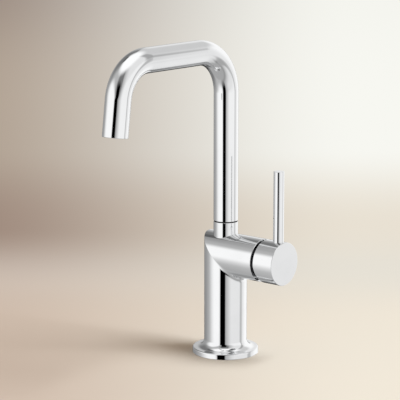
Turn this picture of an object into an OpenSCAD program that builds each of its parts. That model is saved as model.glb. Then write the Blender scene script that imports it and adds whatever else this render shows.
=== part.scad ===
// Gooseneck bar faucet: a single-lever mixer with a swivelling spout of bent tube.
// The origin is the centre of the foot's underside, on the deck. Z points up, the
// spout reaches towards -Y and the hub with the lever towards +X. Millimetres.

/* [Body] */
// Diameter of the upright column and of the hub
column_d = 42; // [42:0.5:44]
// Diameter of the foot
foot_d = 65; // [64:1:70]
// Height of the foot's rim
foot_h = 5.5; // [5:0.5:7]
// Radius of the sweep from the foot into the column
foot_sweep = 8; // [6:0.5:9]
// Height of the hub's axis above the deck
hub_z = 99.5; // [98:0.5:101]
// Distance from the column's axis to the hub's open rim
hub_x = 47; // [46.5:0.5:47.5]
// Height of the line at which the spout turns
swivel_z = 132; // [131:0.5:136]

/* [Spout] */
// Outside diameter of the spout's tube
spout_d = 24; // [24:0.5:25]
// Wall of the tube
spout_wall = 1.5; // [1.5:0.1:1.5]
// Height of the level run's centreline
spout_h = 300.5; // [280:0.5:330]
// Length of the level run between the two bends
level_run = 75; // [60:1:100]
// Length of the straight leg that ends in the outlet
leg_len = 34; // [25:0.5:60]
// How far the outlet leg leans outwards from the vertical, in degrees
outlet_lean = 7.5; // [0:0.5:15]
// Centreline radius of the bend above the column
bend_r_back = 42; // [36:1:50]
// Centreline radius of the bend above the outlet
bend_r_front = 37; // [34:1:50]

/* [Handle] */
// Distance from the column's axis to the cap's rim, across the gap from the hub
cap_rim_x = 50; // [49.8:0.1:50.4]
// Distance from the column's axis to the cap's flat face
cap_face_x = 72.5; // [72:0.5:76]
// Slope of the relief on the lower half of the cap's rim, in degrees
cap_relief = 10; // [9:0.5:12]
// Diameter of the lever's rod
rod_d = 10.3; // [10:0.1:10.5]
// Distance from the column's axis to the rod's axis
rod_x = 65; // [65:0.1:65.4]
// Height of the rod's top
rod_top = 189; // [170:1:210]

/* [Mounting] */
// Diameter of the threaded shank that goes through the deck
shank_d = 33; // [33:0.1:33]
// Length of the shank below the deck
shank_drop = 46; // [42:1:60]
// Room left between the foot and the fixing gasket for the deck
deck_room = 30; // [20:1:30]

/* [Hidden] */
$fn = 96;

CHROME = [0.83, 0.84, 0.85];
BRASS = [0.78, 0.63, 0.33];
STEEL = [0.62, 0.63, 0.65];
RUBBER = [0.09, 0.09, 0.10];
WHITE_PLASTIC = [0.90, 0.90, 0.88];
GREY_PLASTIC = [0.45, 0.46, 0.48];
RED_PLASTIC = [0.72, 0.12, 0.10];
CERAMIC = [0.95, 0.94, 0.90];

// A cut runs this far past the face that it opens
past = 1;
// Radial room where a shaft turns or slides in a bore
running = 0.05;
// Radial room between two pieces that stay still against each other
seated = 0.05;
// Small chamfer that takes the sharpness off a machined edge
edge = 0.4;
// Chamfer that leads a screwed or pushed end in
lead_in = 0.8;

column_r = column_d / 2;
foot_r = foot_d / 2;
foot_lip = 1.2;
// The inside corner of the elbow is filled with a round blend, narrower than the limbs and
// sunk a little into them, so that it dies out on their sides
blend_r = 5.5;
blend_half_w = 18;
blend_sink = 0.05;

// Foot's underside and the bore that takes the hoses
gasket_ri = 22;
gasket_ro = 29;
gasket_h = 2;
shank_r = shank_d / 2;
shank_bore_r = 13.5;
shank_screwed_in = 12;
shank_thread_h = 14;
column_bore_r = 15;
column_bore_top = 62;

// Hardware under the deck
fixing_ro = 26;
fixing_gasket_h = 3;
fixing_washer_h = 2;
fixing_nut_h = 8;
fixing_nut_af = 42;
fixing_nut_chamfer = 1.6;

// Inlet block: a brass plug in the column that takes the two supply hoses
block_h = 14;
block_z = column_bore_top - block_h;
inlet_y = 6.5;
inlet_r = 4.5;
inlet_depth = 11;
channel_r = 3;
block_screw_r = 2.5;
block_screw_x = 9.5;
block_screw_head_r = 4;
block_screw_head_h = 3;
block_screw_key_af = 3.5;
block_screw_key_depth = 2;
block_screw_end = column_bore_top + 8;

// Cartridge: stations along the hub's axis, from the seat outwards
seat_x = 10;
base_gap = 0.3;
base_x = seat_x + base_gap;
housing_x = base_x + 2.7;
disc_x = 16;
disc_h = 3.5;
moving_x = disc_x + disc_h + 0.05;
moving_h = 2.95;
carrier_x = moving_x + moving_h;
carrier_h = 3.9;
collar_x = 26.9;
shoulder_x = 30.9;
cup_x = 34;
pivot_x = 34;
nut_x = cup_x;
nut_h = 6;
dome_x = nut_x + nut_h;
neck_end_x = 41;

chamber_r = 17.6;
hub_thread_r = 18.2;
housing_r = 17.5;
base_r = 17.3;
housing_bore_r = 15.5;
neck_r = 11;
port_y = 6.5;
port_z = -6;
mixed_r = 4;
mixed_z = 7;
port_seal_w = 1.5;
port_seal_h = 1.7;
disc_seal_h = 1.4;
peg_r = 1.5;
peg_y = 12;
peg_z = 5;
peg_h = 2.3;

disc_r = 14;
disc_notch_r = 1.6;
moving_r = 12.2;
carrier_r = 12.5;
mixing_r = 7.5;
mixing_shift = 2;
mixing_depth = 1.6;

// The lever tilts by flow_tilt degrees about the pivot pin, which slides the disc
flow_tilt = 16;
stem_arm = 9;
disc_travel = stem_arm * flow_tilt * PI / 180;
disc_rest = -disc_travel / 2;
ball_r = 2.3;
ball_socket_r = 2.5;
arm_r = 1.8;
arm_room_r = 3.8;
stem_w = 8;
stem_end_x = 68;
pin_r = 1.5;
pin_len = 20.4;
pocket_w = 8.3;
pocket_down = 7.2;
pocket_up = 5.4;
tongue_len = 12;
tongue_h = 2;
groove_len = 19;
groove_h = 2.2;
tongue_play = 0.15;
arm_clear = 0.5;

// The collar's lug runs between the ends of a rib in the housing: 45 degrees each way
collar_flange_r = 14.1;
collar_lug_r = 15.3;
lug_angle = 60;
turn_each_way = 45.5;
rib_angle = 360 - lug_angle - 2 * turn_each_way;
rib_play = 0.2;
flange_play = 0.3;

nut_bore_r = 14;
notch_w = 4;
notch_depth = 2;
limit_ring_r = 13.6;
limit_ring_h = 3;
limit_teeth = 24;
limit_tooth_w = 1.2;
limit_tooth_h = 0.8;

// The dome is round about the lever's pivot, so that the cap tilts over it
dome_r = 24;
dome_inner_r = 21.6;
dome_sleeve_r = 17;
dome_sleeve_x = hub_x - 0.5;
dome_bore_r = 14.5;
dome_mouth_r = 12;
dome_bore_h = 8;

cap_r = column_r;
cap_bore_r = 18.5;
cap_floor_x = 58.5;
cap_core_x = 69;
cap_boss_r = 9.5;
cap_web_w = 15;
rod_r = rod_d / 2;
rod_seat_z = hub_z + 12;
grub_r = 2.5;
grub_x = 63;
grub_top = hub_z - stem_w / 2;
grub_len = 9;
grub_key_af = 2.5;
grub_key_depth = 2.5;

// Swivel: a brass post with the spout's sleeve turning on it
spout_r = spout_d / 2;
spout_bore_r = spout_r - spout_wall;
washer_h = 1;
washer_r = spout_r - 0.4;
post_r = 9;
post_bore_r = 6;
post_thread_r = 10;
post_socket_z = 118.5;
post_top = 172;
sleeve_bore_r = post_r + running;
sleeve_top = 174;
o_ring_r = 0.7;
o_ring_groove_w = 1.8;
o_ring_floor_r = post_r - 2 * o_ring_r;
o_ring_low_z = 142;
o_ring_high_z = 150;
glide_z = 156;
glide_h = 6;
glide_floor_r = 8;
ring_z = 166.5;
ring_h = 1.2;
ring_ri = 8.3;
ring_ro = 9.8;
ring_play = 0.1;
ring_gap_angle = 30;

// Centreline of the spout: riser, back bend, level run, front bend, outlet leg
front_turn = 90 - outlet_lean;
front_y = -bend_r_back - level_run;
reach = -front_y + bend_r_front * sin(front_turn) + leg_len * sin(outlet_lean);
outlet_z = spout_h - bend_r_front * (1 - cos(front_turn)) - leg_len * cos(outlet_lean);
riser_z = swivel_z + washer_h;
// The leg is this much larger than the bend and laps it a little, so that they join as one
leg_step = 0.01;
leg_lap = 0.05;

// Aerator in the outlet: stations are distances up the leg from its end
outlet_sleeve_up = 0.4;
outlet_sleeve_len = 17;
outlet_sleeve_bore_r = 9.2;
aerator_r = 9.15;
aerator_bore_r = 7.8;
aerator_up = 1.2;
aerator_len = 12;
aerator_key_w = 2.4;
aerator_key_h = 1.5;
screen_up = aerator_up + 0.6;
screen_h = 3;
screen_pitch = 2.1;
screen_rings = 3;
screen_web = 0.35;
insert_up = 8;
insert_h = 3;
insert_holes = 16;
insert_hole_r = 0.6;
insert_hole_at = 5.6;
insert_middle_r = 1.5;
aerator_seal_h = 1.6;

// ---- Helpers ----

// Turns local Z to the hub's axis, local X to Y and local Y to Z, at a station along the hub
module on_hub(x) {
    translate([x, 0, hub_z]) rotate([90, 0, 90]) children();
}

// Puts local Z up the outlet leg from the centre of its end
module on_outlet(up) {
    translate([0, -reach, outlet_z]) rotate([-outlet_lean, 0, 0]) translate([0, 0, up]) children();
}

// A cylinder with both rims chamfered
module turned(r, h, c) {
    cylinder(r1 = r - c, r2 = r, h = c);
    translate([0, 0, c]) cylinder(r = r, h = h - 2 * c);
    translate([0, 0, h - c]) cylinder(r1 = r, r2 = r - c, h = c);
}

// A flat ring
module ring(ro, ri, h) {
    difference() {
        cylinder(r = ro, h = h);
        translate([0, 0, -past]) cylinder(r = ri, h = h + 2 * past);
    }
}

// A sector of a flat ring, centred on an angle
module ring_sector(ro, ri, h, middle, angle) {
    rotate([0, 0, middle - angle / 2]) rotate_extrude(angle = angle)
        translate([ri, 0]) square([ro - ri, h]);
}

// Room for a hexagon key of a size across its flats
module key_socket(af, h) {
    cylinder(r = af / 2 / cos(30), h = h, $fn = 6);
}

// An O-ring of round section about Z
module o_ring(centre_r, section_r) {
    rotate_extrude() translate([centre_r, 0]) circle(section_r);
}

// Places its children at each of the cartridge's two supply ports
module at_supply_ports() {
    for (side = [-1, 1]) translate([side * port_y, port_z, 0]) children();
}

// The three ports of the cartridge, as cylinders with extra radius
module port_cylinders(extra, h) {
    at_supply_ports() cylinder(r = channel_r + extra, h = h);
    translate([0, mixed_z, 0]) cylinder(r = mixed_r + extra, h = h);
}

// The three ring seals that go round the ports
module port_rings(h) {
    difference() {
        port_cylinders(port_seal_w, h);
        translate([0, 0, -past]) port_cylinders(0, h + 2 * past);
    }
}

// ---- Body and deck hardware ----

// Half of space on one side of the 45 degree mitre between column and hub
module mitre_half(below) {
    span = 200;
    translate([0, 0, hub_z]) rotate([0, 45, 0])
        translate([-span, -span, below ? -2 * span : 0]) cube(2 * span);
}

// Section of the foot and the column: rim with a rounded lip, then a hollow sweep
module foot_section() {
    sweep_r = column_r + foot_sweep;
    sweep_z = foot_h + foot_sweep;
    square([column_r, hub_z + column_r]);
    difference() {
        square([sweep_r, sweep_z]);
        translate([sweep_r, sweep_z]) circle(foot_sweep);
    }
    square([foot_r - foot_lip, foot_h]);
    square([foot_r, foot_h - foot_lip]);
    translate([foot_r - foot_lip, foot_h - foot_lip]) circle(foot_lip);
}

// A quarter turn of bent tube that rounds the elbow's inside corner
module elbow_blend() {
    centre = column_r + blend_r - blend_sink;
    translate([centre, 0, hub_z - centre]) rotate([90, 0, 0]) rotate([0, 0, 90])
        rotate_extrude(angle = 90) translate([blend_r + blend_half_w, 0]) circle(blend_half_w);
}

module body_outside() {
    intersection() {
        rotate_extrude() foot_section();
        mitre_half(true);
    }
    intersection() {
        on_hub(-column_r - past) {
            hub_len = hub_x + column_r + past;
            cylinder(r = column_r, h = hub_len - edge);
            translate([0, 0, hub_len - edge]) cylinder(r1 = column_r, r2 = column_r - edge, h = edge);
        }
        mitre_half(false);
    }
    elbow_blend();
    translate([0, 0, hub_z]) cylinder(r = spout_r, h = swivel_z - hub_z);
}

// Hose bore, gasket groove and the two rising channels
module column_cuts() {
    translate([0, 0, -past]) cylinder(r = shank_r + seated, h = shank_thread_h + past);
    cylinder(r = column_bore_r, h = column_bore_top);
    translate([0, 0, -past]) ring(gasket_ro + seated, gasket_ri - seated, gasket_h + past);
    for (side = [-1, 1]) translate([0, side * inlet_y, column_bore_top - past])
        cylinder(r = channel_r, h = hub_z + port_z - column_bore_top + past);
    translate([block_screw_x, 0, column_bore_top - past])
        cylinder(r = block_screw_r + seated, h = block_screw_end - column_bore_top + 2 * past);
}

// Cartridge chamber, its ports and the way up to the spout
module hub_cuts() {
    on_hub(seat_x) cylinder(r = chamber_r, h = hub_x);
    on_hub(cup_x) cylinder(r = hub_thread_r, h = hub_x);
    on_hub(-channel_r) at_supply_ports() cylinder(r = channel_r, h = seat_x + channel_r + past);
    on_hub(0) translate([0, mixed_z, 0]) cylinder(r = mixed_r, h = seat_x + past);
    on_hub(seat_x - peg_h) for (side = [-1, 1]) translate([side * peg_y, peg_z, 0])
        cylinder(r = peg_r + seated, h = peg_h + past);
    translate([0, 0, hub_z + mixed_z - mixed_r])
        cylinder(r = post_bore_r - 1, h = post_socket_z - hub_z);
    translate([0, 0, post_socket_z]) cylinder(r = post_thread_r + seated, h = swivel_z);
}

module body() {
    color(CHROME) difference() {
        body_outside();
        column_cuts();
        hub_cuts();
    }
}

module deck_gasket() {
    color(RUBBER) ring(gasket_ro, gasket_ri, gasket_h);
}

module mounting_shank() {
    color(BRASS) translate([0, 0, -shank_drop]) difference() {
        turned(shank_r, shank_drop + shank_screwed_in, lead_in);
        translate([0, 0, -past]) cylinder(r = shank_bore_r, h = shank_drop + shank_screwed_in + 2 * past);
    }
}

module fixing_gasket() {
    color(RUBBER) translate([0, 0, -deck_room - fixing_gasket_h])
        ring(fixing_ro, shank_r + seated, fixing_gasket_h);
}

module fixing_washer() {
    color(STEEL) translate([0, 0, -deck_room - fixing_gasket_h - fixing_washer_h])
        ring(fixing_ro, shank_r + seated, fixing_washer_h);
}

// A hexagon nut with its corners turned off
module fixing_nut() {
    corner_r = fixing_nut_af / 2 / cos(30);
    color(BRASS) translate([0, 0, -deck_room - fixing_gasket_h - fixing_washer_h - fixing_nut_h])
        difference() {
            intersection() {
                cylinder(r = corner_r, h = fixing_nut_h, $fn = 6);
                turned(corner_r - edge, fixing_nut_h, fixing_nut_chamfer);
            }
            translate([0, 0, -past]) cylinder(r = shank_r + seated, h = fixing_nut_h + 2 * past);
        }
}

// ---- Inlet block ----

module inlet_block() {
    color(BRASS) difference() {
        translate([0, 0, block_z]) cylinder(r = column_bore_r - seated, h = block_h);
        for (side = [-1, 1]) translate([0, side * inlet_y, block_z - past]) {
            cylinder(r = inlet_r, h = inlet_depth + past);
            cylinder(r = channel_r, h = block_h + 2 * past);
            translate([0, 0, past + block_h - disc_seal_h])
                cylinder(r = channel_r + port_seal_w, h = disc_seal_h + past);
        }
        translate([block_screw_x, 0, block_z - past]) {
            cylinder(r = block_screw_r + seated, h = block_h + 2 * past);
            cylinder(r = block_screw_head_r + seated, h = block_screw_head_h + past);
        }
    }
}

module block_screw() {
    color(STEEL) translate([block_screw_x, 0, block_z]) difference() {
        union() {
            cylinder(r = block_screw_head_r, h = block_screw_head_h);
            cylinder(r = block_screw_r, h = block_screw_end - block_z);
        }
        translate([0, 0, -past]) key_socket(block_screw_key_af, block_screw_key_depth + past);
    }
}

module block_seals() {
    color(RUBBER) for (side = [-1, 1])
        translate([0, side * inlet_y, column_bore_top - disc_seal_h])
            ring(channel_r + port_seal_w, channel_r, disc_seal_h);
}

// ---- Swivel ----

module post_groove(z, floor_r, h) {
    translate([0, 0, z]) ring(post_r + past, floor_r, h);
}

module spout_post() {
    color(BRASS) difference() {
        union() {
            translate([0, 0, post_socket_z]) turned(post_thread_r, swivel_z - post_socket_z, edge);
            translate([0, 0, post_socket_z + past]) turned(post_r, post_top - post_socket_z - past, lead_in);
        }
        translate([0, 0, post_socket_z - past])
            cylinder(r = post_bore_r, h = post_top - post_socket_z + 2 * past);
        for (z = [o_ring_low_z, o_ring_high_z])
            post_groove(z - o_ring_groove_w / 2, o_ring_floor_r, o_ring_groove_w);
        post_groove(glide_z, glide_floor_r, glide_h);
        post_groove(ring_z - running, ring_ri - ring_play, ring_h + 2 * running);
    }
}

// The thin dark ring that shows as the swivel line
module swivel_washer() {
    color(RUBBER) translate([0, 0, swivel_z]) ring(washer_r, post_r + seated, washer_h);
}

module lower_o_ring() {
    color(RUBBER) translate([0, 0, o_ring_low_z]) o_ring(post_r - o_ring_r, o_ring_r);
}

module upper_o_ring() {
    color(RUBBER) translate([0, 0, o_ring_high_z]) o_ring(post_r - o_ring_r, o_ring_r);
}

module glide_ring() {
    color(WHITE_PLASTIC) translate([0, 0, glide_z]) ring(post_r + running / 2, glide_floor_r, glide_h);
}

// ---- Cartridge, fixed pieces ----

module cartridge_base() {
    color(GREY_PLASTIC) difference() {
        union() {
            on_hub(base_x) cylinder(r = base_r, h = housing_x - base_x);
            on_hub(base_x) cylinder(r = housing_bore_r - seated, h = disc_x - base_x);
            on_hub(base_x - peg_h) for (side = [-1, 1]) translate([side * peg_y, peg_z, 0])
                cylinder(r = peg_r, h = peg_h + past);
        }
        on_hub(base_x - past) port_cylinders(0, disc_x);
        on_hub(base_x - past) port_cylinders(port_seal_w, seat_x + port_seal_h - base_x + past);
        on_hub(disc_x - disc_seal_h) port_cylinders(port_seal_w, disc_seal_h + past);
    }
}

module port_seals() {
    color(RUBBER) on_hub(seat_x) port_rings(port_seal_h);
}

module disc_seals() {
    color(RUBBER) on_hub(disc_x - disc_seal_h) port_rings(disc_seal_h);
}

module fixed_disc() {
    color(CERAMIC) on_hub(disc_x) difference() {
        cylinder(r = disc_r, h = disc_h);
        translate([0, 0, -past]) port_cylinders(0, disc_h + 2 * past);
        for (side = [-1, 1]) translate([side * disc_r, 0, -past])
            cylinder(r = disc_notch_r, h = disc_h + 2 * past);
    }
}

module cartridge_housing() {
    color(WHITE_PLASTIC) {
        difference() {
            on_hub(housing_x) cylinder(r = housing_r, h = cup_x - housing_x);
            on_hub(housing_x - past) cylinder(r = housing_bore_r, h = shoulder_x - housing_x + past);
            on_hub(housing_x) cylinder(r = neck_r + running, h = cup_x);
        }
        // Rib whose ends stop the collar's lug
        on_hub(collar_x)
            ring_sector(housing_bore_r, collar_flange_r + rib_play, shoulder_x - collar_x, -90, rib_angle);
    }
}

module retaining_nut() {
    color(BRASS) on_hub(nut_x) difference() {
        turned(hub_thread_r - seated, nut_h, edge);
        translate([0, 0, -past]) cylinder(r = nut_bore_r, h = nut_h + 2 * past);
        for (turn = [0, 90]) rotate([0, 0, turn])
            translate([-hub_thread_r - past, -notch_w / 2, nut_h - notch_depth])
                cube([2 * (hub_thread_r + past), notch_w, notch_depth + past]);
    }
}

// Trim piece that fills the hub's mouth and shows grey in the gap
module trim_dome() {
    pivot_up = pivot_x - dome_x;
    color(STEEL) on_hub(dome_x) difference() {
        union() {
            cylinder(r = hub_thread_r - seated, h = dome_sleeve_x - dome_x);
            intersection() {
                cylinder(r = dome_sleeve_r, h = dome_r);
                translate([0, 0, pivot_up]) sphere(dome_r);
            }
        }
        translate([0, 0, -past]) cylinder(r = dome_bore_r, h = dome_bore_h);
        intersection() {
            translate([0, 0, pivot_up]) sphere(dome_inner_r);
            cylinder(r = dome_bore_r, h = dome_r);
        }
        cylinder(r = dome_mouth_r, h = dome_r);
    }
}

// ---- Cartridge, moving pieces ----

module rotary_collar() {
    neck_len = neck_end_x - collar_x;
    flange_h = shoulder_x - collar_x - flange_play;
    color(GREY_PLASTIC) on_hub(collar_x) difference() {
        union() {
            cylinder(r = collar_flange_r, h = flange_h);
            ring_sector(collar_lug_r, neck_r, flange_h, 90, lug_angle);
            cylinder(r = neck_r, h = neck_len);
        }
        translate([-pocket_w / 2, -pocket_down, -past])
            cube([pocket_w, pocket_down + pocket_up, neck_len + 2 * past]);
        translate([-pocket_w / 2, -groove_len / 2, -past]) cube([pocket_w, groove_len, groove_h + past]);
        translate([-pin_len / 2, 0, pivot_x - collar_x]) rotate([0, 90, 0])
            cylinder(r = pin_r, h = pin_len);
    }
}

module pivot_pin() {
    color(STEEL) translate([pivot_x, pin_len / 2, hub_z]) rotate([90, 0, 0]) cylinder(r = pin_r, h = pin_len);
}

module limit_ring() {
    root_r = limit_ring_r - limit_tooth_h;
    color(RED_PLASTIC) on_hub(dome_x - limit_ring_h) {
        ring(root_r, neck_r, limit_ring_h);
        for (i = [0 : limit_teeth - 1]) rotate([0, 0, i * 360 / limit_teeth])
            translate([root_r - past / 2, -limit_tooth_w / 2, 0])
                cube([limit_tooth_h + past / 2, limit_tooth_w, limit_ring_h]);
    }
}

module stem_lever() {
    color(STEEL) difference() {
        union() {
            translate([pivot_x, -stem_w / 2, hub_z - stem_w / 2])
                cube([stem_end_x - pivot_x, stem_w, stem_w]);
            translate([pivot_x, stem_w / 2, hub_z]) rotate([90, 0, 0])
                cylinder(r = stem_w / 2, h = stem_w);
            on_hub(pivot_x - stem_arm) cylinder(r = arm_r, h = stem_arm - pin_r - arm_clear);
            translate([pivot_x - stem_arm, 0, hub_z]) sphere(ball_r);
        }
        translate([pivot_x, stem_w, hub_z]) rotate([90, 0, 0])
            cylinder(r = pin_r + running, h = 2 * stem_w);
    }
}

module disc_carrier() {
    ball_x = pivot_x - stem_arm;
    color(WHITE_PLASTIC) difference() {
        union() {
            on_hub(carrier_x) translate([0, disc_rest, 0]) cylinder(r = carrier_r, h = carrier_h);
            on_hub(carrier_x + carrier_h)
                translate([tongue_play - pocket_w / 2, disc_rest - tongue_len / 2, -past])
                    cube([pocket_w - 2 * tongue_play, tongue_len, tongue_h + past]);
        }
        on_hub(carrier_x - past) cylinder(r = ball_socket_r, h = carrier_h + tongue_h + 2 * past);
        on_hub(ball_x + arm_r) cylinder(r = arm_room_r, h = carrier_h + tongue_h);
    }
}

module moving_disc() {
    color(CERAMIC) on_hub(moving_x) translate([0, disc_rest, 0]) difference() {
        cylinder(r = moving_r, h = moving_h);
        translate([0, mixing_shift, -past]) cylinder(r = mixing_r, h = mixing_depth + past);
    }
}

// ---- Handle ----

// Cuts the lower half of the cap's rim back, so that the cap can tilt outwards
module cap_relief_cut() {
    span = 3 * cap_r;
    translate([cap_rim_x, 0, hub_z]) rotate([0, -cap_relief, 0])
        translate([-span, -span / 2, -span]) cube([span, span, span]);
}

// Pockets that core the casting out on both sides of its upright web
module cap_cores() {
    for (side = [-1, 1]) intersection() {
        on_hub(cap_floor_x - past) ring(cap_bore_r, cap_boss_r, cap_core_x - cap_floor_x + past);
        translate([cap_floor_x - past, side > 0 ? cap_web_w / 2 : -column_d - cap_web_w / 2, 0])
            cube([cap_core_x, column_d, 2 * hub_z]);
    }
}

module handle_cap() {
    stem_hole = stem_w + 2 * seated;
    color(CHROME) difference() {
        on_hub(cap_rim_x) turned(cap_r, cap_face_x - cap_rim_x, edge);
        cap_relief_cut();
        on_hub(cap_rim_x - past) cylinder(r = cap_bore_r, h = cap_floor_x - cap_rim_x + past);
        cap_cores();
        translate([cap_floor_x - past, -stem_hole / 2, hub_z - stem_hole / 2])
            cube([stem_end_x - cap_floor_x + past, stem_hole, stem_hole]);
        translate([rod_x, 0, rod_seat_z]) cylinder(r = rod_r + seated, h = cap_r);
        translate([grub_x, 0, hub_z - cap_r - past])
            cylinder(r = grub_r + seated, h = cap_r - stem_w / 2 + past);
    }
}

module lever_rod() {
    color(CHROME) translate([rod_x, 0, rod_seat_z]) turned(rod_r, rod_top - rod_seat_z, edge);
}

module grub_screw() {
    color(STEEL) translate([grub_x, 0, grub_top - grub_len]) difference() {
        turned(grub_r, grub_len, edge);
        translate([0, 0, -past]) key_socket(grub_key_af, grub_key_depth + past);
    }
}

// ---- Spout ----

// Section through the tube's wall, grown by a step on both sides
module tube_section(step = 0) {
    difference() {
        circle(spout_r + step);
        circle(spout_bore_r - step);
    }
}

// Puts local Z at right angles to the spout's plane, at the centre of a bend
module on_bend(y, z, from) {
    translate([0, y, z]) rotate([90, 0, 90]) rotate([0, 0, from]) children();
}

// Riser, back bend, level run, front bend and outlet leg, joined end to end
module spout_tube() {
    front_z = spout_h - bend_r_front;
    color(CHROME) {
        translate([0, 0, riser_z]) linear_extrude(spout_h - bend_r_back - riser_z) tube_section();
        on_bend(-bend_r_back, spout_h - bend_r_back, 0)
            rotate_extrude(angle = 90) translate([bend_r_back, 0]) tube_section();
        translate([0, -bend_r_back, spout_h]) rotate([90, 0, 0]) linear_extrude(level_run) tube_section();
        on_bend(front_y, front_z, 90)
            rotate_extrude(angle = front_turn) translate([bend_r_front, 0]) tube_section();
        on_bend(front_y, front_z, 90 + front_turn) translate([bend_r_front, -leg_lap, 0])
            rotate([-90, 0, 0]) linear_extrude(leg_len + leg_lap) tube_section(leg_step);
    }
}

module spout_sleeve() {
    color(BRASS) difference() {
        translate([0, 0, riser_z]) cylinder(r = spout_bore_r, h = sleeve_top - riser_z);
        translate([0, 0, riser_z - past]) cylinder(r = sleeve_bore_r, h = sleeve_top - riser_z + 2 * past);
        translate([0, 0, ring_z - running]) cylinder(r = ring_ro + running, h = ring_h + 2 * running);
    }
}

// Split ring that snaps into the grooves of post and sleeve and keeps the spout down
module retaining_ring() {
    color(STEEL) translate([0, 0, ring_z])
        ring_sector(ring_ro, ring_ri, ring_h, 90, 360 - ring_gap_angle);
}

module outlet_sleeve() {
    color(BRASS) on_outlet(outlet_sleeve_up)
        ring(spout_bore_r - 2 * leg_step, outlet_sleeve_bore_r, outlet_sleeve_len);
}

// Aerator shell, with key slots across its mouth
module aerator_body() {
    color(GREY_PLASTIC) on_outlet(aerator_up) difference() {
        ring(aerator_r, aerator_bore_r, aerator_len);
        for (turn = [0, 90]) rotate([0, 0, turn]) translate([-aerator_r - past, -aerator_key_w / 2, -past])
            cube([2 * (aerator_r + past), aerator_key_w, aerator_key_h + past]);
    }
}

// Honeycomb that the water leaves through
module aerator_screen() {
    hole_r = (screen_pitch - screen_web) / 2 / cos(30);
    color(GREY_PLASTIC) on_outlet(screen_up + aerator_key_h) linear_extrude(screen_h) difference() {
        circle(aerator_bore_r);
        for (q = [-screen_rings : screen_rings], s = [-screen_rings : screen_rings])
            if (abs(q + s) <= screen_rings)
                translate([screen_pitch * (q + s / 2), screen_pitch * s * cos(30)])
                    rotate(30) circle(hole_r, $fn = 6);
    }
}

// Disc of fine holes that breaks the flow into jets
module aerator_insert() {
    color(WHITE_PLASTIC) on_outlet(insert_up) linear_extrude(insert_h) difference() {
        circle(aerator_bore_r);
        for (i = [0 : insert_holes - 1]) rotate(i * 360 / insert_holes)
            translate([insert_hole_at, 0]) circle(insert_hole_r);
        circle(insert_middle_r);
    }
}

module aerator_seal() {
    color(RUBBER) on_outlet(aerator_up + aerator_len) ring(aerator_r, aerator_bore_r, aerator_seal_h);
}

body();
deck_gasket();
mounting_shank();
fixing_gasket();
fixing_washer();
fixing_nut();
inlet_block();
block_screw();
block_seals();
spout_post();
swivel_washer();
lower_o_ring();
upper_o_ring();
glide_ring();
cartridge_base();
port_seals();
disc_seals();
fixed_disc();
cartridge_housing();
retaining_nut();
trim_dome();
rotary_collar();
pivot_pin();
limit_ring();
stem_lever();
handle_cap();
lever_rod();
grub_screw();
disc_carrier();
moving_disc();
spout_tube();
spout_sleeve();
retaining_ring();
outlet_sleeve();
aerator_body();
aerator_screen();
aerator_insert();
aerator_seal();
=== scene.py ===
# %% [markdown]
# A gooseneck bar faucet in polished chrome
#
# The faucet is a mitred elbow on a round foot, a spout bent from one tube, and a cap with a
# rod that works the cartridge. The CAD model already has every solid in its place, so this
# lesson dresses it: it models the chrome again with smooth, round skins, gives each inner
# piece its finish, and builds the studio that the chrome mirrors. All lengths in the
# modelling cells are written in millimetres, and the helpers turn them into metres.

# %% Load the frame
import math

import bpy
from mathutils import Matrix, Vector


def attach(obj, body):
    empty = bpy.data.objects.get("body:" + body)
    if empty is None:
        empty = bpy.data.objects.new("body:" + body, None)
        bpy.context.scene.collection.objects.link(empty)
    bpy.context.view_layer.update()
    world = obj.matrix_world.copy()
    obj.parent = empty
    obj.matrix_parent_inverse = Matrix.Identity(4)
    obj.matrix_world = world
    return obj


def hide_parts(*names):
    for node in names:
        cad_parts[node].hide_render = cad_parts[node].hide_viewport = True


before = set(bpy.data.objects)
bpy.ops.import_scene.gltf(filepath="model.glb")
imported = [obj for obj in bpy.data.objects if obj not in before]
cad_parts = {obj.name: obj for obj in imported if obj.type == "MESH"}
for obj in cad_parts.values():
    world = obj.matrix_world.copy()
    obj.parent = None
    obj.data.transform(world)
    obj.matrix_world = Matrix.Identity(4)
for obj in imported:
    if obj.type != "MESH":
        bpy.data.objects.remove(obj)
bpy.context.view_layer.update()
MM = 0.001

# %% [markdown]
# The camera
#
# A picture of a tall slim product is taken from far off with a long lens, so that the
# uprights stay parallel. The place and the lens below were found by matching the foot, the
# hub and the two bends of the spout against the picture: 40 degrees round and 11.5 degrees up.

# %% Camera
CAMERA_TURN = 40
CAMERA_RISE = 11.47
CAMERA_PLACE = (1.0820, -1.3287, 0.5004)
FOCAL_LENGTH = 161.25
FILM_WIDTH = 36
NEAREST = 0.05
FURTHEST = 60

lens = bpy.data.cameras.new("camera")
lens.lens = FOCAL_LENGTH
lens.sensor_width = FILM_WIDTH
lens.clip_start = NEAREST
lens.clip_end = FURTHEST
camera = bpy.data.objects.new("camera", lens)
bpy.context.scene.collection.objects.link(camera)
camera.location = CAMERA_PLACE
camera.rotation_euler = (math.radians(90 - CAMERA_RISE), 0, math.radians(CAMERA_TURN))
bpy.context.scene.camera = camera
bpy.context.scene.view_settings.view_transform = "Standard"
print("camera at", [round(v, 3) for v in camera.location])

# %% [markdown]
# Shader sums as plain Python
#
# A material is a graph of nodes, and a long sum is hard to read as a graph. The class below
# wraps one socket and turns +, -, * and / into Math nodes, so that a mask is written as it
# would be on paper. The other class holds one node tree, and its method `node` makes every
# other kind of node from its type, its settings and its inputs.

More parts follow.
